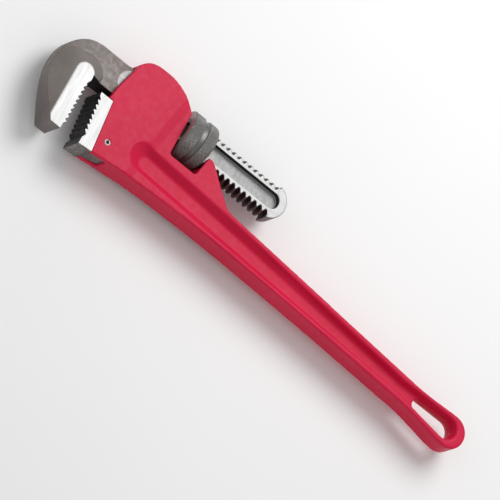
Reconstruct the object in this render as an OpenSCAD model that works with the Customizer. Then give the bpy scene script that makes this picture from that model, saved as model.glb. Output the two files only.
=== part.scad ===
// Straight pipe wrench with a 24 inch handle, lying flat.
// +X runs from the handle to the hook, +Y out of the jaw mouth, +Z up.
// The origin is the middle of the heel jaw's toothed face.

/* [Jaws] */
// Thickness of both jaws and of the housing
jaw_t = 30; // [26:1:40]
// Opening between the tooth tips at half height
jaw_gap = 18.5; // [17:0.5:40]
// Pitch of the jaw teeth
tooth_pitch = 5.4; // [4:0.2:8]
// Depth of the jaw teeth
tooth_h = 2.4; // [1.5:0.1:3]
// Length of the heel jaw
heel_len = 57; // [50:1:66]
// Heel jaw from its seat to the tooth tips
heel_w = 14.8; // [12:0.2:20]
// Lean of the heel jaw's face
heel_lean = 6; // [3:0.5:8]
// Hook jaw from its tooth tips to the end of its ground side
hook_ground_w = 17.6; // [15:0.2:24]
// Hook jaw from its tooth tips to its back, at the widest
hook_w = 40; // [34:1:50]
// Diameter of the heel jaw pin
pin_d = 6; // [4:0.5:8]

/* [Shank and nut] */
// Crest radius of the shank's thread
shank_r = 18; // [15:0.5:22]
// Thickness of the shank between its flats
shank_t = 20; // [16:0.5:22]
// Pitch of the thread
thread_pitch = 6.9; // [5:0.1:8]
// Depth of the thread
thread_h = 3; // [2:0.1:3.2]
// Shank from the middle of the nut to its round end
shank_tail = 113; // [100:1:125]
// Depth of the groove in each flat
groove_h = 6; // [3:0.5:7]
// Wall of the nut outside its thread
nut_wall = 6.45; // [5:0.1:9]
// Length of the nut
nut_len = 31; // [26:1:32]
// Width of the plain groove between the two knurled bands
nut_groove_w = 4.5; // [3:0.5:8]
// Depth of that groove
nut_groove_h = 1.4; // [1:0.2:3]

/* [Handle] */
// Middle of the nut to the tail end of the handle
handle_len = 387; // [320:1:470]
// Depth of the handle beside the nut
beam_d = 42.5; // [38:0.5:50]
// Thickness of the handle at its tail
tail_t = 23; // [18:1:26]
// Half width of the tail
tail_r = 17; // [15:0.5:20]
// Depth of the hollow in each side of the handle
hollow_h = 7; // [4:0.5:8]
// Wall of the housing behind the shank, at its thickest
strap_t = 15.4; // [12:0.2:20]
// Half width of the narrow end of the hanging hole
hole_r1 = 5.5; // [4:0.5:6]
// Half width of the wide end of the hanging hole
hole_r2 = 9.5; // [8:0.5:10.5]

/* [Springs] */
// Diameter of the coil spring's wire
wire_d = 1.8; // [1.2:0.1:2.2]
// Mean diameter of the coil spring
coil_d = 10; // [8:0.5:11]
// Length of the coil spring
coil_len = 15; // [12:0.5:16]
// Turns of the coil spring
coil_turns = 5; // [4:1:6]
// Thickness of the flat spring
leaf_t = 1.4; // [1:0.1:1.8]
// Width of the flat spring
leaf_w = 13; // [10:0.5:14]

/* [Clearances] */
// Between the shank's flats and the cheeks
flat_clear = 0.35; // [0.2:0.05:0.6]
// Between the threads of the shank and the nut, radially
thread_clear = 0.35; // [0.25:0.05:0.5]
// Between the nut and the end of the housing
nut_clear = 2.2; // [1.8:0.1:3]
// Between the shank and the flat spring
leaf_clear = 0.4; // [0.3:0.05:0.6]
// Between the heel jaw's tongue and its slot
tongue_clear = 0.05; // [0.02:0.01:0.1]

/* [Hidden] */

red = [0.75, 0.16, 0.22];
forged = [0.42, 0.4, 0.38];
bright = [0.85, 0.85, 0.84];
spring_steel = [0.35, 0.36, 0.4];

// Places below are from the middle of the nut, on the shank's axis.
nut_r = shank_r + thread_clear + nut_wall;
wall_x = nut_len / 2 + nut_clear;               // housing end beside the nut
floor_y = nut_r + 7.2;                          // floor of the nut's window
front_y = floor_y + beam_d;                     // front edge of the handle
land_t = jaw_t - 3;                             // thickness beside the nut
ear_x = -wall_x + 2.2;                          // foot of the horn, nut side
horn_y = shank_r - 9.7;                         // tip of the horn
tail_x = -handle_len + tail_r;
tail_y = front_y - 2;

heel_top = shank_r + 9.2;                       // end of the heel jaw in the mouth
heel_x = wall_x + 76.2;                         // its seat, at that end
heel_k = tan(heel_lean);
lean = heel_len * heel_k;
tips_x = heel_x + heel_w;                       // its tooth tips, at that end
grip_y = heel_top + heel_len / 2;
grip_x = tips_x - heel_k * heel_len / 2;
tongue_t = 17;
tongue_x = wall_x + 50.5;                       // inner end of the tongue
tongue_y = heel_top + 6;
pin_x = wall_x + 60.6;
pin_y = heel_top + 37.3;

hook_x = grip_x + jaw_gap;                      // tooth tips of the hook jaw
hook_end = heel_top + heel_len;                 // end of the hook jaw
hook_in = shank_r + 1;                          // neck, on the side of the mouth
hook_out = shank_r - 3;                         // neck, on the far side
boss_r = hook_ground_w / 2 + 0.6;               // round end of the ground side
boss_x = hook_x + hook_ground_w - boss_r;
boss_y = shank_r + 4;
slope = 0.38;                                   // fall of the hook's sides
neck_x = heel_x + 19.1;                         // neck thin enough for the slot, up to here
neck_t = shank_t + 0.2;
end_r = shank_r + 0.6;                          // round end of the shank

thread_from = -shank_tail + 12;                 // thread on the shank
thread_to = wall_x + 42;
crest = 1.4;                                    // widths along the axis
flank = 1.8;
leaf_x = wall_x + 12.5;                         // rivet end of the flat spring
leaf_end = wall_x + 50;
leaf_top = shank_r + leaf_clear;
coil_x = wall_x + 31;
pocket_y = leaf_top + leaf_t;
seat_h = 2.4;                                   // drop of the flat spring to its rivet
rivet_d = 3;

// Points of a curve with two end points and two control points
function curve(a, b, c, d, n = 10) = [for (i = [0 : n]) let (t = i / n)
    pow(1 - t, 3) * a + 3 * t * pow(1 - t, 2) * b + 3 * t * t * (1 - t) * c + t * t * t * d];

module in_frame() translate([-grip_x, -grip_y, 0]) children();

module slab(t) linear_extrude(t, center = true) children();

// ---- handle ----

module handle_outline() {
    back = -(shank_r + strap_t);
    mouth = heel_x - 6;
    polygon(concat(
        [[heel_x + 4.8, heel_top - 0.4], [heel_x + 2.6, heel_top - 15],
         [heel_x - 3.4, -(shank_r - 7.5)]],
        curve([mouth, -(shank_r + 3.5)], [mouth - 7, back + 1.6],
              [mouth - 14, back], [wall_x + 42, back]),
        curve([wall_x + 40, back], [wall_x + 22, back + 0.6],
              [wall_x + 7, back + 10], [wall_x, -(shank_r - 2.6)]),
        curve([wall_x, floor_y - 3], [wall_x, floor_y - 1], [wall_x - 1, floor_y],
              [wall_x - 3, floor_y], 4),
        curve([ear_x + 3, floor_y], [ear_x + 1, floor_y], [ear_x, floor_y - 1],
              [ear_x - 0.2, floor_y - 3.5], 4),
        curve([ear_x - 3, horn_y + 2.4], [ear_x - 3.8, horn_y - 0.8],
              [ear_x - 8, horn_y - 0.6], [ear_x - 12.5, horn_y + 3], 8),
        [[ear_x - 29, floor_y - 6]],
        curve([ear_x - 42, floor_y + 4], [ear_x - 46, floor_y + 6.6],
              [ear_x - 50, floor_y + 8], [ear_x - 54, floor_y + 8.2], 5),
        curve([tail_x + 50, tail_y - 15.6], [tail_x + 34, tail_y - 14.6],
              [tail_x + 20, tail_y - tail_r], [tail_x, tail_y - tail_r], 8),
        [for (a = [-100 : -10 : -260]) [tail_x + tail_r * cos(a), tail_y + tail_r * sin(a)]],
        curve([tail_x, tail_y + tail_r], [tail_x + 16, tail_y + tail_r],
              [tail_x + 30, tail_y + 11.6], [tail_x + 54, tail_y + 9.6], 8),
        curve([tail_x / 2, front_y + 2.6], [-60, front_y - 1],
              [wall_x, front_y - 1], [heel_x - lean, hook_end - 1.4], 14),
        [[heel_x, heel_top]]));
}

// Thickness seen along Y: head, a sloping step, then the handle to its tail
module thickness() {
    rotate([0, 0, -10]) rotate([90, 0, 0]) slab(500)
        polygon([for (s = [1, -1]) for (p = s > 0
            ? [[-handle_len - 60, tail_t], [-60, land_t], [wall_x + 7, land_t],
               [wall_x + 17, jaw_t], [heel_x + 40, jaw_t]]
            : [[heel_x + 40, jaw_t], [wall_x + 17, jaw_t], [wall_x + 7, land_t],
               [-60, land_t], [-handle_len - 60, tail_t]])
            [p[0], s * p[1] / 2]]);
}

// The slot for the shank, open at both ends and wider at the mouth to let it rock
module shank_slot() {
    slab(shank_t + 2 * flat_clear) polygon([
        [ear_x - 70, -shank_r - 6], [wall_x, -shank_r - 0.5],
        [heel_x + 20, -shank_r - 0.5],
        [heel_x + 20, shank_r + 6.2], [heel_x - 6, shank_r + 5.1],
        [wall_x, shank_r + 1.4], [wall_x, shank_r + 4.2], [ear_x - 20, shank_r + 4.2],
        [ear_x - 70, shank_r + 7]]);
}

module spring_pocket() {
    slab(leaf_w + 1) polygon([
        [leaf_x - 2.5, 0], [leaf_end + 2, 0],
        [leaf_end + 2, pocket_y + seat_h], [leaf_x - 2.5, pocket_y + seat_h]]);
    translate([coil_x, pocket_y, 0]) rotate([-90, 0, 0])
        cylinder(d = coil_d + wire_d + 1, h = coil_len + 0.3);
    translate([leaf_x + 1.5, pocket_y, 0]) rotate([-90, 0, 0])
        cylinder(d = rivet_d, h = seat_h + 8);
}

// Hollow of the handle: a wide outline at the face and a narrow one at its floor
module hollow_side() {
    deep = land_t / 2 - hollow_h;
    shallow = tail_t / 2 - hollow_h;
    face = jaw_t / 2 + 1;
    front = [wall_x + 14, (floor_y + front_y) / 2];
    waist = [tail_x + 66, tail_y - 4.2];
    tail = [tail_x + 5, tail_y - 0.4];
    // each disc: its place, its radius and its height
    for (set = [[[front, 7.5, deep], [front + [8, 0], 16.2, face],
                 [waist, 4.5, shallow], [waist, 8.5, face]],
                [[waist, 4.5, shallow], [waist, 8.5, face],
                 [tail, hole_r2, shallow], [tail, hole_r2 + 3, face]]])
        hull() for (d = set) translate([d[0][0], d[0][1], d[2]])
            linear_extrude(0.1) circle(r = d[1], $fn = 40);
}

module hang_hole() {
    slab(jaw_t) hull() {
        translate([tail_x + 6, tail_y]) circle(r = hole_r2, $fn = 48);
        translate([tail_x + 40, tail_y - 2.7]) circle(r = hole_r1, $fn = 48);
    }
}

module heel_slot() {
    slab(tongue_t + 2 * tongue_clear) polygon([
        [tongue_x, tongue_y], [heel_x + 20, tongue_y],
        [heel_x + 20, front_y + 30], [tongue_x, front_y + 30]]);
}

module handle() {
    color(red) in_frame() difference() {
        intersection() {
            slab(jaw_t) handle_outline();
            thickness();
        }
        shank_slot();
        spring_pocket();
        hollow_side();
        mirror([0, 0, 1]) hollow_side();
        hang_hole();
        heel_slot();
        translate([pin_x, pin_y, 0]) cylinder(d = pin_d, h = jaw_t + 2, center = true);
    }
}

// ---- heel jaw ----

// Tooth outline along Y from the origin, tips at X = 0, roots at X = -tooth_h
function teeth(n) = [for (i = [0 : n - 1]) for (p = [[0, 0.15], [0, 0.35], [-1, 0.95], [-1, 1.05]])
    [p[0] * tooth_h, (i + p[1]) * tooth_pitch]];

module heel_jaw() {
    n = floor((heel_len - 11) / tooth_pitch);
    color(bright) in_frame() difference() {
        union() {
            slab(jaw_t) polygon(concat(
                [[heel_x, heel_top], [tips_x, heel_top]],
                [for (p = teeth(n)) [tips_x + p[0] - heel_k * (p[1] + 2), heel_top + 2 + p[1]]],
                [[tips_x - lean + 0.8, heel_top + heel_len - 7],
                 [tips_x - lean + 0.8, heel_top + heel_len],
                 [heel_x - lean, heel_top + heel_len - 1.4]]));
            slab(tongue_t) polygon([
                [tongue_x, tongue_y], [heel_x + 3, tongue_y],
                [heel_x - lean + 3, heel_top + heel_len - 1.2],
                [heel_x - lean, heel_top + heel_len - 1.4],
                [tongue_x, front_y + 3.5]]);
        }
        translate([pin_x, pin_y, 0]) cylinder(d = pin_d, h = jaw_t + 2, center = true);
    }
}

module heel_jaw_pin() {
    color(bright) in_frame() translate([pin_x, pin_y, 0]) difference() {
        cylinder(d = pin_d, h = jaw_t - 0.8, center = true);
        cylinder(d = pin_d - 2.4, h = jaw_t + 2, center = true);
        translate([0, -pin_d / 2, 0]) cube([1, pin_d, jaw_t + 2], center = true);
    }
}

// ---- hook jaw ----

// Rows of the thread: place along the axis and radius, one set of four each turn
function row_x(i) = thread_pitch * floor(i / 4) + [0, crest, crest + flank, thread_pitch - flank][i % 4];
function row_r(i, rc, rr) = [rc, rc, rr, rr][i % 4];

// Threaded bar with flats: the thread is only on its two narrow edges
module threaded_bar(from, to) {
    rows = 4 * floor((to - from) / thread_pitch);
    cols = 6;
    z0 = shank_t / 2;
    // crests and roots of one edge, side 0 at +Y and side 1 at -Y
    pts = [for (s = [0, 1]) for (i = [0 : rows - 1]) for (j = [0 : cols])
        let (z = (s == 0 ? 1 : -1) * z0 * (2 * j / cols - 1),
             r = row_r(i, shank_r, shank_r - thread_h),
             y = (s == 0 ? 1 : -1) * sqrt(r * r - z * z),
             a = atan2(z, y) + (atan2(z, y) < -90 ? 360 : 0))
        [from + row_x(i) + thread_pitch * a / 360, y, z]];
    w = cols + 1;
    half = rows * w;
    last = half - w;
    grid = [for (s = [0, 1]) for (i = [0 : rows - 2]) for (j = [0 : cols - 1])
        let (a = s * half + i * w + j) each [[a, a + w, a + 1], [a + 1, a + w, a + w + 1]]];
    sides = [for (i = [0 : rows - 2]) let (a = i * w, b = half + i * w)
        each [[a + cols, a + cols + w, b + w, b], [b + cols, b + cols + w, a + w, a]]];
    ring = concat([for (j = [0 : cols]) j], [for (j = [0 : cols]) half + j]);
    m = len(ring);
    ends = [for (k = [0 : m - 1]) let (a = ring[k], b = ring[(k + 1) % m])
        each [[a, b, 2 * half], [b + last, a + last, 2 * half + 1]]];
    polyhedron(concat(pts, [[from - 1, 0, 0], [to + 1, 0, 0]]),
               concat(grid, sides, ends), convexity = 10);
}

module hook_outline() {
    out_x = hook_x + hook_w;
    tip_x = hook_x + hook_ground_w - 2.6;
    n = floor((hook_end - heel_top - 5) / tooth_pitch);
    polygon(concat(
        [[heel_x - 2, -hook_out]],
        curve([hook_x + 1, -hook_out], [hook_x + 24, -hook_out],
              [out_x, shank_r - 16], [out_x, shank_r + 10], 14),
        curve([out_x, shank_r + 12], [out_x, hook_end - 36],
              [out_x - 13, hook_end - 18], [tip_x, hook_end], 12),
        [[hook_x + 2.2, hook_end]],
        [for (i = [n - 1 : -1 : 0]) for (p = [[1, 1.05], [1, 0.95], [0, 0.35], [0, 0.15]])
            [hook_x + p[0] * tooth_h, hook_end - (n - i - p[1] + 1) * tooth_pitch]],
        [[hook_x + 1.2, heel_top + 3.2]],
        curve([hook_x - 1.1, boss_y + 3], [hook_x - 1.3, boss_y], [hook_x - 1.1, boss_y - 2],
              [hook_x - 0.6, hook_in], 5),
        [[heel_x - 2, hook_in]]));
}

// Space that the hook keeps within: full thickness at the teeth, thinner to its back
module hook_space() {
    hull() for (z = [-1, 0, 1]) translate([0, 0, z * jaw_t / 2 - 0.005]) linear_extrude(0.01) {
        out = (1 - abs(z)) * jaw_t / 2 / slope;
        translate([boss_x, boss_y]) circle(r = boss_r + out, $fn = 64);
        translate([hook_x - 2, boss_y]) square([hook_ground_w + 2 + out, hook_end]);
    }
}

// Neck and arch of the hook, seen along Y: even up to the boss, then thinner to the back
module arch() {
    back = jaw_t / 2 - slope * (hook_w - hook_ground_w);
    rotate([90, 0, 0]) slab(400) polygon([for (s = [1, -1])
        for (p = s > 0 ? [[-60, neck_t / 2], [boss_r, neck_t / 2], [hook_x + hook_w - boss_x, back - 0.3]]
                       : [[hook_x + hook_w - boss_x, back - 0.3], [boss_r, neck_t / 2], [-60, neck_t / 2]])
        [boss_x + p[0], s * p[1]]]);
}

// Past the neck, seen along Y
module past_neck() {
    rotate([90, 0, 0]) slab(400) polygon([for (s = [1, -1])
        for (p = s > 0 ? [[0, neck_t / 2], [7, jaw_t / 2 + 1], [200, jaw_t / 2 + 1]]
                       : [[200, jaw_t / 2 + 1], [7, jaw_t / 2 + 1], [0, neck_t / 2]])
        [neck_x + p[0], s * p[1]]]);
}

module hook_jaw() {
    color(forged) in_frame() difference() {
        union() {
            threaded_bar(thread_from, thread_to);
            slab(shank_t - 0.1) intersection() {
                translate([-shank_tail + end_r, 0]) circle(r = end_r, $fn = 72);
                translate([-shank_tail - 5, -40]) square([19, 80]);
            }
            intersection() {
                translate([thread_to - 4, 0, 0]) rotate([0, 90, 0])
                    cylinder(r = shank_r + 0.15, h = heel_x + 4 - thread_to, $fn = 96);
                cube([600, 60, shank_t - 0.1], center = true);
            }
            intersection() {
                slab(neck_t + 2) hook_outline();
                arch();
            }
            intersection() {
                slab(jaw_t) hook_outline();
                hook_space();
                past_neck();
            }
        }
        // the shank's flats end in an arc on the neck
        for (m = [0, 1]) mirror([0, 0, m]) translate([0, 0, shank_t / 2 - 0.04])
            linear_extrude(0.5) hull() for (x = [heel_x - 30, heel_x - 8])
                translate([x, 0]) circle(r = 13.5, $fn = 64);
        for (m = [0, 1]) mirror([0, 0, m]) translate([0, 0, shank_t / 2 - groove_h])
            linear_extrude(20) hull() for (x = [-shank_tail + 17, wall_x])
                translate([x, 0]) circle(r = 8.3, $fn = 48);
    }
}

// ---- nut ----

// Inside of the nut's thread: the shank's own thread, larger by the clearance
module nut_thread() {
    h = nut_len + 2;
    p = thread_pitch;
    side = 0.15;
    at = [-side, crest + side, crest + flank + side, p - flank - side, p - side];
    r1 = shank_r + thread_clear;
    r0 = r1 - thread_h;
    start = -h / 2 - thread_from;
    rotate([90, 0, 90]) linear_extrude(h, center = true, twist = -360 * h / p, slices = 110)
        polygon([for (k = [0 : 3]) for (i = [0 : 6])
            let (f = i / 7, x = at[k] * (1 - f) + at[k + 1] * f,
                 r = [r1, r1 * (1 - f) + r0 * f, r0, r0 * (1 - f) + r1 * f][k],
                 a = 360 * (start - x) / p)
            r * [cos(a), sin(a)]]);
}

module adjusting_nut() {
    color(forged) in_frame() difference() {
        rotate([0, 90, 0]) rotate_extrude($fn = 128) nut_half();
        nut_thread();
    }
}

module nut_half() {
    h = nut_len / 2;
    g = nut_groove_w / 2;
    polygon(concat(
        [[0, -h], [nut_r - 6, -h]],
        curve([nut_r - 5, -h], [nut_r - 2, -h], [nut_r, -h + 2.5], [nut_r, -h + 5], 6),
        [[nut_r, -g - 0.8], [nut_r - nut_groove_h, -g], [nut_r - nut_groove_h, g], [nut_r, g + 0.8],
         [nut_r, h - 1.5], [nut_r - 1.5, h], [0, h]]));
}

// ---- springs ----

module flat_spring() {
    low = leaf_top + seat_h;
    side = concat(
        [[leaf_x - 2, low]],
        curve([leaf_x + 5, low], [leaf_x + 10, low], [coil_x - 9, leaf_top], [coil_x, leaf_top]),
        curve([coil_x + 2, leaf_top], [coil_x + 10, leaf_top],
              [leaf_end - 6, leaf_top + 0.4], [leaf_end, leaf_top + 1.6], 6));
    n = len(side) - 1;
    color(spring_steel) in_frame() difference() {
        slab(leaf_w) polygon(concat(side, [for (i = [n : -1 : 0]) side[i] + [0, leaf_t]]));
        translate([leaf_x + 1.5, 0, 0]) rotate([-90, 0, 0]) cylinder(d = rivet_d + 0.2, h = 40);
    }
}

module coil_spring() {
    cols = 8;
    rows = coil_turns * 16;
    rise = coil_len - wire_d - 0.2;
    pts = [for (i = [0 : rows]) for (j = [0 : cols - 1])
        let (a = 360 * coil_turns * i / rows, b = 360 * j / cols, r = (coil_d + wire_d * cos(b)) / 2)
        [r * cos(a), rise * i / rows + wire_d * sin(b) / 2, r * sin(a)]];
    skin = [for (i = [0 : rows - 1]) for (j = [0 : cols - 1])
        let (a = i * cols + j, b = i * cols + (j + 1) % cols)
        each [[a, a + cols, b], [b, a + cols, b + cols]]];
    color(spring_steel) in_frame() translate([coil_x, pocket_y + wire_d / 2 + 0.1, 0])
        polyhedron(pts, concat(skin, [[for (j = [0 : cols - 1]) j],
            [for (j = [cols - 1 : -1 : 0]) rows * cols + j]]), convexity = 10);
}

module spring_rivet() {
    color(bright) in_frame() translate([leaf_x + 1.5, leaf_top + seat_h - 1.2, 0])
        rotate([-90, 0, 0]) {
            cylinder(d = rivet_d + 3, h = 1.2);
            cylinder(d = rivet_d, h = leaf_t + 8);
        }
}

handle();
hook_jaw();
heel_jaw();
heel_jaw_pin();
adjusting_nut();
flat_spring();
coil_spring();
spring_rivet();
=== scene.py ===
import math

import bmesh
import bpy
from mathutils import Matrix, Vector


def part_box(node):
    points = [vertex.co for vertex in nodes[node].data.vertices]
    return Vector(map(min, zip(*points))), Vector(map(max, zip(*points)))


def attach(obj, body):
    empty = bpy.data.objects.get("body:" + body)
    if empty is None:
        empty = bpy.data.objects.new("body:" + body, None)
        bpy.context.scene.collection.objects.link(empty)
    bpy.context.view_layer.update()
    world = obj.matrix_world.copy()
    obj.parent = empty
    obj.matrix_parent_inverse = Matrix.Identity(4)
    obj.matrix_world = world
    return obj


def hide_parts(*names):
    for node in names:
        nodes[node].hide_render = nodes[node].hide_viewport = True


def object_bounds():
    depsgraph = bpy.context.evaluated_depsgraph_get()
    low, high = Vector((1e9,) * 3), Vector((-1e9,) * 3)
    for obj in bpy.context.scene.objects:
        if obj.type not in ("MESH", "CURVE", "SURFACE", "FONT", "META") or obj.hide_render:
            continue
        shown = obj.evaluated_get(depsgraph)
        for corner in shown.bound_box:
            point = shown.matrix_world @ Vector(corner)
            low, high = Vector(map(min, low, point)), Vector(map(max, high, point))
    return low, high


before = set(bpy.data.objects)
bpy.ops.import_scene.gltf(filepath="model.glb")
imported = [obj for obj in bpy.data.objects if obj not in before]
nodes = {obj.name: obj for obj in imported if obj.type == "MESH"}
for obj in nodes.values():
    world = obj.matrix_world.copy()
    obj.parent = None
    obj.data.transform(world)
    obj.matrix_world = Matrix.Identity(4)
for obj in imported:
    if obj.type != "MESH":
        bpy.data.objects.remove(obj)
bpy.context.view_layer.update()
MM = 0.001

# ---- places, from the frame ----

nut_lo, nut_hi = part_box("adjusting_nut")
hook_lo, hook_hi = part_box("hook_jaw")
shank = (nut_lo + nut_hi) / 2          # a point on the shank's axis, the middle of the nut
nut_len = nut_hi.x - nut_lo.x
nut_r = (nut_hi.z - nut_lo.z) / 2
jaw_half = hook_hi.z
shank_half = 10 * MM                   # half the shank's thickness, flat to flat
shank_r = 18 * MM
thread_pitch = 6.9 * MM
thread_h = 3 * MM
thread_clear = 0.35 * MM
thread_from = hook_lo.x + 12 * MM      # where the shank's first ridge starts


# ---- node materials ----

class Shader:
    """A principled material, built up a texture at a time in object coordinates."""

    def __init__(self, name, **sockets):
        self.mat = bpy.data.materials.new(name)
        self.mat.use_nodes = True
        self.tree = self.mat.node_tree
        self.bsdf = self.tree.nodes["Principled BSDF"]
        for key, value in sockets.items():
            self.bsdf.inputs[key.replace("_", " ")].default_value = value
        self.place = self.tree.nodes.new("ShaderNodeTexCoord").outputs["Object"]
        self.bump = None

    def link(self, a, b):
        self.tree.links.new(a, b)

    def stretched(self, scale):
        node = self.tree.nodes.new("ShaderNodeMapping")
        node.inputs["Scale"].default_value = scale
        self.link(self.place, node.inputs["Vector"])
        return node.outputs["Vector"]

    def noise(self, scale, detail=4.0, rough=0.55, stretch=None, distort=0.0):
        node = self.tree.nodes.new("ShaderNodeTexNoise")
        node.inputs["Scale"].default_value = scale
        node.inputs["Detail"].default_value = detail
        node.inputs["Roughness"].default_value = rough
        node.inputs["Distortion"].default_value = distort
        self.link(self.stretched(stretch) if stretch else self.place, node.inputs["Vector"])
        return node.outputs["Fac"]

    def cells(self, scale):
        node = self.tree.nodes.new("ShaderNodeTexVoronoi")
        node.inputs["Scale"].default_value = scale
        self.link(self.place, node.inputs["Vector"])
        return node.outputs["Distance"]

    def edges(self):
        return self.tree.nodes.new("ShaderNodeNewGeometry").outputs["Pointiness"]

    def ramp(self, value, *stops):
        node = self.tree.nodes.new("ShaderNodeValToRGB")
        band = node.color_ramp
        while len(band.elements) < len(stops):
            band.elements.new(0.5)
        for element, (at, colour) in zip(band.elements, stops):
            element.position = at
            element.color = colour if isinstance(colour, tuple) else (colour,) * 3 + (1,)
        self.link(value, node.inputs["Fac"])
        return node.outputs["Color"]

    def mix(self, mask, a, b):
        node = self.tree.nodes.new("ShaderNodeMix")
        node.data_type = "RGBA"
        self.link(mask, node.inputs["Factor"])
        for socket, value in (("A", a), ("B", b)):
            target = [s for s in node.inputs if s.name == socket and s.type == "RGBA"][0]
            if isinstance(value, tuple):
                target.default_value = value
            else:
                self.link(value, target)
        return [s for s in node.outputs if s.type == "RGBA"][0]

    def times(self, a, b):
        node = self.tree.nodes.new("ShaderNodeMath")
        node.operation = "MULTIPLY"
        self.link(a, node.inputs[0])
        self.link(b, node.inputs[1])
        return node.outputs[0]

    def colour(self, value):
        self.link(value, self.bsdf.inputs["Base Color"])

    def roughness(self, value):
        self.link(value, self.bsdf.inputs["Roughness"])

    def metallic(self, value):
        self.link(value, self.bsdf.inputs["Metallic"])

    def raised(self, value, depth, strength=1.0):
        node = self.tree.nodes.new("ShaderNodeBump")
        node.inputs["Distance"].default_value = depth
        node.inputs["Strength"].default_value = strength
        self.link(value, node.inputs["Height"])
        if self.bump:
            self.link(self.bump, node.inputs["Normal"])
        self.bump = node.outputs["Normal"]
        self.link(self.bump, self.bsdf.inputs["Normal"])


def red_paint():
    """Gloss paint over a sand casting: soft lumps, pores, and metal showing at knocked edges."""
    s = Shader("red_paint", IOR=1.42, Specular_IOR_Level=0.22)
    tone = s.ramp(s.noise(9, 3), (0.3, (0.58, 0.008, 0.050, 1)), (0.7, (0.66, 0.012, 0.062, 1)))
    dust = s.ramp(s.noise(260, 6, 0.7), (0.46, 0.0), (0.78, 0.22))
    tone = s.mix(dust, tone, (0.46, 0.010, 0.03, 1))
    chips = s.times(s.ramp(s.edges(), (0.545, 0.0), (0.59, 1.0)),
                    s.ramp(s.noise(520, 5, 0.7), (0.52, 0.0), (0.6, 1.0)))
    s.colour(s.mix(chips, tone, (0.20, 0.17, 0.16, 1)))
    s.roughness(s.ramp(s.noise(150, 4), (0.3, 0.34), (0.75, 0.5)))
    s.raised(s.noise(320, 5, 0.6), 0.00022, 0.55)
    s.raised(s.noise(1300, 3), 0.00007, 0.5)
    s.raised(s.cells(480), 0.00006, 0.35)
    return s.mat


def forged_steel(name="forged_steel", shade=1.0):
    """Scaled, oiled forging: warm dark grey with mottling and a fine hammered grain."""
    s = Shader(name, Metallic=0.4)
    tone = s.ramp(s.noise(22, 6, 0.6, distort=0.6), *(
        (at, (shade * r, shade * g, shade * b, 1)) for at, r, g, b in
        ((0.28, 0.130, 0.110, 0.100), (0.52, 0.175, 0.152, 0.141), (0.78, 0.22, 0.20, 0.19))))
    rub = s.times(s.ramp(s.edges(), (0.53, 0.0), (0.60, 0.8)),
                  s.ramp(s.noise(300, 5), (0.4, 0.2), (0.62, 1.0)))
    s.colour(s.mix(rub, tone, (0.52, 0.51, 0.49, 1)))
    s.roughness(s.ramp(s.noise(210, 5), (0.3, 0.42), (0.7, 0.62)))
    s.raised(s.noise(170, 5, 0.6), 0.0002, 0.5)
    s.raised(s.noise(1500, 4), 0.00008, 0.6)
    return s.mat


def ground_steel(name="ground_steel", along=(900, 40, 900), tone=0.51):
    """Surface-ground steel: bright, with fine straight grinding lines and light stains."""
    s = Shader(name, Metallic=0.35)
    lines = s.noise(1.0, 3, 0.7, stretch=along)
    stain = s.noise(38, 5, 0.6)
    base = s.ramp(stain, (0.3, (tone * 0.93, tone * 0.93, tone * 0.92, 1)),
                  (0.7, (tone, tone, tone, 1)))
    marks = s.ramp(lines, (0.30, 0.0), (0.62, 0.16))
    s.colour(s.mix(marks, base, (tone * 0.65, tone * 0.65, tone * 0.65, 1)))
    s.roughness(s.ramp(lines, (0.3, 0.30), (0.7, 0.46)))
    s.raised(lines, 0.00004, 0.5)
    return s.mat


def groove_steel():
    """Floor of the shank's groove: the forging's own face, grey and even."""
    s = Shader("groove_steel", Metallic=0.45)
    s.colour(s.ramp(s.noise(55, 5), (0.3, (0.27, 0.27, 0.268, 1)), (0.7, (0.34, 0.34, 0.338, 1))))
    s.roughness(s.ramp(s.noise(300, 4), (0.3, 0.42), (0.7, 0.56)))
    s.raised(s.noise(700, 4), 0.00007, 0.6)
    return s.mat


def black_steel_and_shade():
    """Blackened, oiled steel of the teeth, also laid on as painted shade on the handle's slot
    walls, the shank's groove walls and the hook's throat.
    """
    s = Shader("black_steel_and_shade", Metallic=0.4)
    tone = s.ramp(s.noise(120, 5), (0.3, (0.010, 0.010, 0.010, 1)),
                  (0.75, (0.035, 0.034, 0.032, 1)))
    rub = s.ramp(s.edges(), (0.54, 0.0), (0.62, 0.5))
    s.colour(s.mix(rub, tone, (0.32, 0.31, 0.30, 1)))
    s.roughness(s.ramp(s.noise(400, 4), (0.3, 0.4), (0.7, 0.6)))
    s.raised(s.noise(900, 4), 0.00006, 0.6)
    return s.mat


def thread_steel():
    """Cut thread: grey crests, and painted shade darkening the flanks and roots by distance from
    the shank's axis.
    """
    s = Shader("thread_steel", Metallic=0.6)
    part = s.tree.nodes.new("ShaderNodeSeparateXYZ")
    s.link(s.place, part.inputs[0])
    flat = s.tree.nodes.new("ShaderNodeCombineXYZ")
    s.link(part.outputs["Y"], flat.inputs["Y"])
    s.link(part.outputs["Z"], flat.inputs["Z"])
    gap = s.tree.nodes.new("ShaderNodeVectorMath")
    gap.operation = "DISTANCE"
    gap.inputs[1].default_value = (0, shank.y, shank.z)
    s.link(flat.outputs[0], gap.inputs[0])
    # painted shade: the deeper toward the shank's axis, the darker the thread
    depth = s.tree.nodes.new("ShaderNodeMapRange")
    depth.inputs["From Min"].default_value = shank_r - thread_h
    depth.inputs["From Max"].default_value = shank_r
    s.link(gap.outputs["Value"], depth.inputs["Value"])
    tone = s.ramp(depth.outputs["Result"], (0.0, (0.012, 0.012, 0.012, 1)),
                  (0.6, (0.035, 0.034, 0.033, 1)), (0.95, (0.17, 0.168, 0.165, 1)))
    s.colour(s.mix(s.ramp(s.noise(220, 4), (0.45, 0.0), (0.8, 0.4)), tone, (0.02, 0.02, 0.02, 1)))
    s.roughness(s.ramp(s.noise(500, 4), (0.3, 0.3), (0.7, 0.5)))
    s.raised(s.noise(900, 4), 0.00005, 0.6)
    return s.mat


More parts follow.
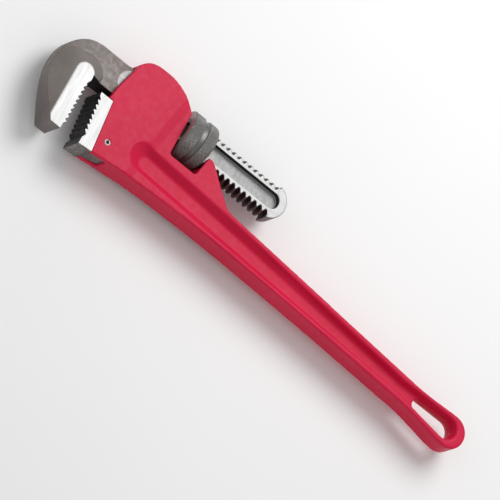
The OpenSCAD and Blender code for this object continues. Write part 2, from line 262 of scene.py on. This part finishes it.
def nut_steel():
    """Knurled, blackened nut: painted shade darkens the cuts, and the points are rubbed grey."""
    s = Shader("nut_steel", Metallic=0.6)
    tone = s.ramp(s.noise(60, 5), (0.3, (0.13, 0.127, 0.12, 1)), (0.7, (0.19, 0.187, 0.18, 1)))
    # painted shade: hollow places between the knurl's points are darkened
    cut_shade = s.ramp(s.edges(), (0.42, 1.0), (0.49, 0.0))
    rub = s.ramp(s.edges(), (0.505, 0.0), (0.56, 0.9))
    tone = s.mix(cut_shade, tone, (0.035, 0.034, 0.032, 1))
    s.colour(s.mix(rub, tone, (0.42, 0.415, 0.405, 1)))
    s.roughness(s.ramp(s.noise(420, 4), (0.3, 0.34), (0.7, 0.5)))
    s.raised(s.noise(1100, 4), 0.00005, 0.5)
    return s.mat


def spring_steel():
    """Blued spring steel with a drawn grain."""
    s = Shader("spring_steel", Metallic=0.85)
    s.colour(s.ramp(s.noise(90, 4), (0.3, (0.13, 0.14, 0.17, 1)), (0.7, (0.24, 0.25, 0.28, 1))))
    s.roughness(s.ramp(s.noise(500, 4), (0.3, 0.26), (0.7, 0.42)))
    s.raised(s.noise(1400, 3), 0.00003, 0.5)
    return s.mat


def pin_steel():
    """Rolled bright steel of the pin and the rivet."""
    s = Shader("pin_steel", Metallic=0.3)
    s.colour(s.ramp(s.noise(300, 4), (0.3, (0.24, 0.24, 0.235, 1)), (0.7, (0.36, 0.36, 0.35, 1))))
    s.roughness(s.ramp(s.noise(700, 4), (0.3, 0.25), (0.7, 0.42)))
    s.raised(s.noise(1500, 3), 0.00003, 0.5)
    return s.mat


PAINT = red_paint()
FORGED = forged_steel()
OILED = forged_steel("oiled_steel", 0.55)
GROUND = ground_steel()
RIM = ground_steel("shank_steel", along=(40, 900, 900), tone=0.42)
NECK = ground_steel("neck_flat", along=(40, 900, 900), tone=0.30)
GROOVE = groove_steel()
BLACK_TEETH_AND_SHADE = black_steel_and_shade()
THREAD = thread_steel()
NUT = nut_steel()
SPRING = spring_steel()
PIN = pin_steel()


# ---- mesh work ----

WELD = 0.00001                         # points this close are one point


def place(mesh, name, body, slot, *cad):
    """Links a finished mesh as a piece that rides on a body and stands for CAD nodes."""
    piece = bpy.data.objects.new(name, mesh)
    bpy.context.scene.collection.objects.link(piece)
    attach(piece, body)
    if cad:
        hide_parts(*cad)
    return piece


def bench(mesh):
    """A throwaway object that carries a mesh while modifiers work on it."""
    work = bpy.data.objects.new("work", mesh)
    bpy.context.scene.collection.objects.link(work)
    return work


def modify(work, kind, **settings):
    modifier = work.modifiers.new(kind.lower(), kind)
    for key, value in settings.items():
        setattr(modifier, key, value)


def taken_off(work, name):
    """The mesh that the modifiers made, with no materials. The throwaway object goes."""
    mesh = bpy.data.meshes.new_from_object(
        work.evaluated_get(bpy.context.evaluated_depsgraph_get()))
    bpy.data.objects.remove(work)
    mesh.name = name
    mesh.materials.clear()
    return mesh


def softened(node, name, voxel, rounds, more=0, share=None):
    """A CAD node's shape with every edge rounded as a casting's or a forging's is.

    more rounds of smoothing follow, weighted by share(point) in tenths from 0 to 1.
    """
    work = bench(nodes[node].data.copy())
    modify(work, "WELD", merge_threshold=WELD)
    modify(work, "REMESH", mode="VOXEL", voxel_size=voxel, use_smooth_shade=True)
    modify(work, "SMOOTH", factor=0.5, iterations=rounds)
    mesh = taken_off(work, name)
    if more:
        work = bench(mesh)
        group = work.vertex_groups.new(name="soft")
        steps = {}
        for v in mesh.vertices:
            steps.setdefault(round(share(v.co) * 10), []).append(v.index)
        for step, which in steps.items():
            group.add(which, step / 10, "REPLACE")
        modify(work, "SMOOTH", factor=0.6, iterations=more, vertex_group="soft")
        mesh = taken_off(work, name)
    return mesh


def paint_faces(mesh, materials, choose):
    """Gives each face the material that choose(centre, normal) picks."""
    for material in materials:
        mesh.materials.append(material)
    for face in mesh.polygons:
        face.material_index = materials.index(choose(face.center, face.normal))


# The housing and handle: one painted casting; the slot's walls in front of the nut are laid black
# as painted shade.
# From here on x and y are measured from the middle of the nut.
def beam_share(p):
    """The share of the extra smoothing that a point gets: 1 along the handle, a quarter
    behind the middle of the nut, and 0 from there to the mouth."""
    x, y = p.x - shank.x, p.y - shank.y
    beam_y, horn_end = nut_r + 9 * MM, -45 * MM
    fade_to, fade = 70 * MM, 30 * MM
    if y > beam_y or x < horn_end:
        return min(1.0, max(0.0, (fade_to - x) / fade))
    return 0.25 if x < 0 else 0.0


casting = softened("handle", "handle_casting", voxel=0.75 * MM, rounds=5,
                   more=16, share=beam_share)


def casting_face(c, n):
    x, y = c.x - shank.x, c.y - shank.y
    slot_from, slot_side = 15 * MM, 26 * MM
    # painted shade: the slot's inner walls from the mouth back to the nut get the black material
    shaded_slot_wall = abs(n.z) > 0.6 and abs(c.z) < shank_half + 0.9 * MM
    return BLACK_TEETH_AND_SHADE if shaded_slot_wall and x > slot_from and y < slot_side else PAINT


paint_faces(casting, [PAINT, BLACK_TEETH_AND_SHADE], casting_face)
place(casting, "handle_casting", "handle", "red_paint", "handle")

# The hook jaw: one forging with ground sides, a threaded shank and black teeth.
forging = softened("hook_jaw", "hook_forging", voxel=0.5 * MM, rounds=3)


def hook_face(c, n):
    x, y, z = c.x - shank.x, c.y - shank.y, c.z
    tilt = abs(n.z)                    # 1 on the flat sides, 0 on the narrow edges
    thread_end, groove_end, neck_end = 62 * MM, 40 * MM, 86 * MM
    thread_root = shank_r - thread_h - 0.6 * MM
    groove_side, groove_floor = 8.9 * MM, 4.6 * MM
    neck_r, neck_top = 13.5 * MM, shank_half + 0.5 * MM
    ground_from = jaw_half - 0.35 * MM
    face_from, face_to = 100 * MM, 129 * MM
    teeth_from, teeth_to = 28 * MM, hook_hi.y - shank.y - 0.8 * MM
    throat_from, throat_to = 60 * MM, 126 * MM
    throat_low, throat_high = 14 * MM, 30 * MM
    if x < thread_end and tilt < 0.7 and math.hypot(y, z) > thread_root:
        return THREAD if c.x > thread_from else FORGED
    if x < groove_end and abs(y) < groove_side:
        if abs(z) < groove_floor:
            return GROOVE
        # painted shade: the groove's side walls get the black material; the floor and the rims
        # keep their metal
        return BLACK_TEETH_AND_SHADE if tilt < 0.5 else RIM
    if x < thread_end:
        return RIM if tilt >= 0.7 else FORGED
    if math.hypot(max(x - neck_end, 0), y) < neck_r and abs(z) < neck_top and tilt > 0.9:
        return NECK
    if abs(z) > ground_from and tilt > 0.85:
        return GROUND
    on_teeth = face_from < x < face_to and teeth_from < y < teeth_to
    if on_teeth and n.x < -0.1 and tilt < 0.8:
        return BLACK_TEETH_AND_SHADE
    # painted shade: the shank's inner edge in the throat gets the black material
    shaded_throat = throat_from < x < throat_to and throat_low < y < throat_high
    return BLACK_TEETH_AND_SHADE if shaded_throat and n.y > 0.6 else FORGED


paint_faces(forging, [FORGED, THREAD, GROOVE, RIM, NECK, GROUND, BLACK_TEETH_AND_SHADE], hook_face)
place(forging, "hook_forging", "hook", "forged_steel", "hook_jaw")

# The heel jaw: a sharp machined block, its edges just broken.
work = bench(nodes["heel_jaw"].data.copy())
modify(work, "WELD", merge_threshold=WELD)
modify(work, "DECIMATE", decimate_type="DISSOLVE", angle_limit=math.radians(2))
modify(work, "BEVEL", width=0.25 * MM, segments=2, limit_method="ANGLE",
       angle_limit=math.radians(25), harden_normals=True)
block = taken_off(work, "heel_block")


def heel_face(c, n):
    if abs(c.z) > jaw_half - 0.4 * MM and abs(n.z) > 0.6:
        return GROUND
    if n.x > 0.25:
        return BLACK_TEETH_AND_SHADE
    return OILED


paint_faces(block, [GROUND, BLACK_TEETH_AND_SHADE, OILED], heel_face)
place(block, "heel_block", "handle", "ground_steel", "heel_jaw")


def knurled_nut():
    """The nut as one closed skin: two bands of cut diamonds outside, the thread inside."""
    around, along = 504, 150           # points round a ring, and rings from end to end
    half = nut_len / 2
    cuts, cut_deep = 84, 0.42 * MM     # of the knurl
    end_round, end_chamfer = 5 * MM, 1.5 * MM
    groove_half, groove_side, groove_deep = 2.25 * MM, 1.2 * MM, 1.7 * MM

    def outer(x):
        """Plain radius, and how far the knurl is cut there, at x from the nut's middle."""
        r, cut = nut_r, 1.0
        if x < -half + end_round:
            t = (-half + end_round - x) / end_round
            r -= end_round * (1 - math.sqrt(max(0.0, 1 - t * t))) * 0.95
            cut = 1.0 if t < 0.7 else max(0.0, (1 - t) / 0.3)
        if x > half - end_chamfer:
            t = (x - half + end_chamfer) / end_chamfer
            r -= end_chamfer * t
            cut = 0.0
        if abs(x) < groove_half + groove_side:
            t = min(1.0, (groove_half + groove_side - abs(x)) / groove_side)
            r -= groove_deep * t
            cut = max(0.0, 1 - 2 * t)
        return r, cut

    def ridge(u):
        """1 on a ridge line and 0 between two, at u ridges round the nut."""
        return abs(2 * (u % 1.0) - 1)

    def inner(x, angle):
        """Radius of the thread's own groove at x from the nut's middle."""
        p, crest, flank, side = thread_pitch, 1.4 * MM, 1.8 * MM, 0.15 * MM
        at = (shank.x + x - thread_from - p * angle / (2 * math.pi) + side) % p
        high, low = shank_r + thread_clear, shank_r + thread_clear - thread_h
        if at < crest + 2 * side:
            return high
        at -= crest + 2 * side
        if at < flank:
            return high + (low - high) * at / flank
        at -= flank
        root = p - 2 * flank - crest - 2 * side
        if at < root:
            return low
        return low + (high - low) * (at - root) / flank

    rings = []
    for i in range(along + 1):
        x = -half + nut_len * i / along
        r, cut = outer(x)
        turn = x / (2 * math.pi * nut_r)
        rings.append((x, [
            r - cut_deep * cut * (2 - ridge(cuts * (j / around + turn))
                                  - ridge(cuts * (j / around - turn))) / 1.4
            for j in range(around)]))
    for i in range(along, -1, -1):
        x = -half + nut_len * i / along
        rings.append((x, [inner(x, 2 * math.pi * j / around) for j in range(around)]))
    verts, faces = [], []
    for x, radii in rings:
        for j, r in enumerate(radii):
            a = 2 * math.pi * j / around
            verts.append((shank.x + x, shank.y + r * math.cos(a), shank.z + r * math.sin(a)))
    count = len(rings)
    for i in range(count):
        k = (i + 1) % count
        for j in range(around):
            m = (j + 1) % around
            faces.append((i * around + j, i * around + m, k * around + m, k * around + j))
    mesh = bpy.data.meshes.new("knurled_nut")
    mesh.from_pydata(verts, [], faces)
    mesh.validate()
    bm = bmesh.new()
    bm.from_mesh(mesh)
    bmesh.ops.recalc_face_normals(bm, faces=bm.faces)
    bm.to_mesh(mesh)
    bm.free()
    mesh.materials.append(NUT)
    return mesh


place(knurled_nut(), "knurled_nut", "nut", "nut_steel", "adjusting_nut")

# The pin, the rivet and the springs keep their CAD shape.
for name, material in (("heel_jaw_pin", PIN), ("spring_rivet", PIN),
                       ("flat_spring", SPRING), ("coil_spring", SPRING)):
    for s in nodes[name].material_slots:
        s.material = material

# ---- studio ----

floor_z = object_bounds()[0].z
floor_gap = 0.2 * MM
mesh = bpy.data.meshes.new("floor")
bm = bmesh.new()
bmesh.ops.create_grid(bm, x_segments=1, y_segments=1, size=8)
bm.to_mesh(mesh)
bm.free()
floor = bpy.data.objects.new("floor", mesh)
floor.location = (0, 0, floor_z - floor_gap)
bpy.context.scene.collection.objects.link(floor)
card = Shader("pale_floor", Roughness=0.9)
card.colour(card.ramp(card.noise(3), (0.3, (0.90, 0.90, 0.90, 1)), (0.7, (0.92, 0.92, 0.92, 1))))
floor.data.materials.append(card.mat)

world = bpy.data.worlds.new("studio")
bpy.context.scene.world = world
world.use_nodes = True
world.node_tree.nodes["Background"].inputs["Color"].default_value = (1, 1, 1, 1)
world.node_tree.nodes["Background"].inputs["Strength"].default_value = 0.52


def softbox(name, towards, size, power):
    """A round lamp that stands off from the middle of the wrench by towards and faces it."""
    light = bpy.data.lights.new(name, "AREA")
    light.shape = "DISK"
    light.size = size
    light.energy = power
    lamp = bpy.data.objects.new(name, light)
    middle = Vector((shank.x - 0.1, 0, 0))
    spot = middle + Vector(towards)
    lamp.matrix_world = Matrix.Translation(spot) @ (
        -Vector(towards)).to_track_quat("-Z", "Y").to_matrix().to_4x4()
    bpy.context.scene.collection.objects.link(lamp)


softbox("key_light", towards=(-0.25, -0.95, 1.35), size=1.2, power=17)
softbox("fill_light", towards=(1.2, 0.3, 0.9), size=1.2, power=1.2)

# The photograph's view: from above the head, the mouth and the hook nearest.
right = Vector((-0.734, -0.442, 0.515)).normalized()
back = Vector((0.328, 0.433, 0.839)).normalized()
up = back.cross(right).normalized()
right = up.cross(back).normalized()
aim = shank + Vector((-105.6, 50.8, 0)) * MM
photo_width, pixels_per_mm = 500, 1.059
view_width = photo_width / pixels_per_mm * MM
lens, sensor = 900.0, 36.0
distance = view_width * lens / sensor
cam = bpy.data.cameras.new("camera")
cam.lens = lens
cam.sensor_width = sensor
cam.clip_start = 0.05
cam.clip_end = 50
camera = bpy.data.objects.new("camera", cam)
camera.matrix_world = Matrix.Translation(aim + back * distance) @ Matrix(
    (right, up, back)).transposed().to_4x4()
bpy.context.scene.collection.objects.link(camera)
bpy.context.scene.camera = camera
bpy.context.scene.view_settings.view_transform = "Standard"
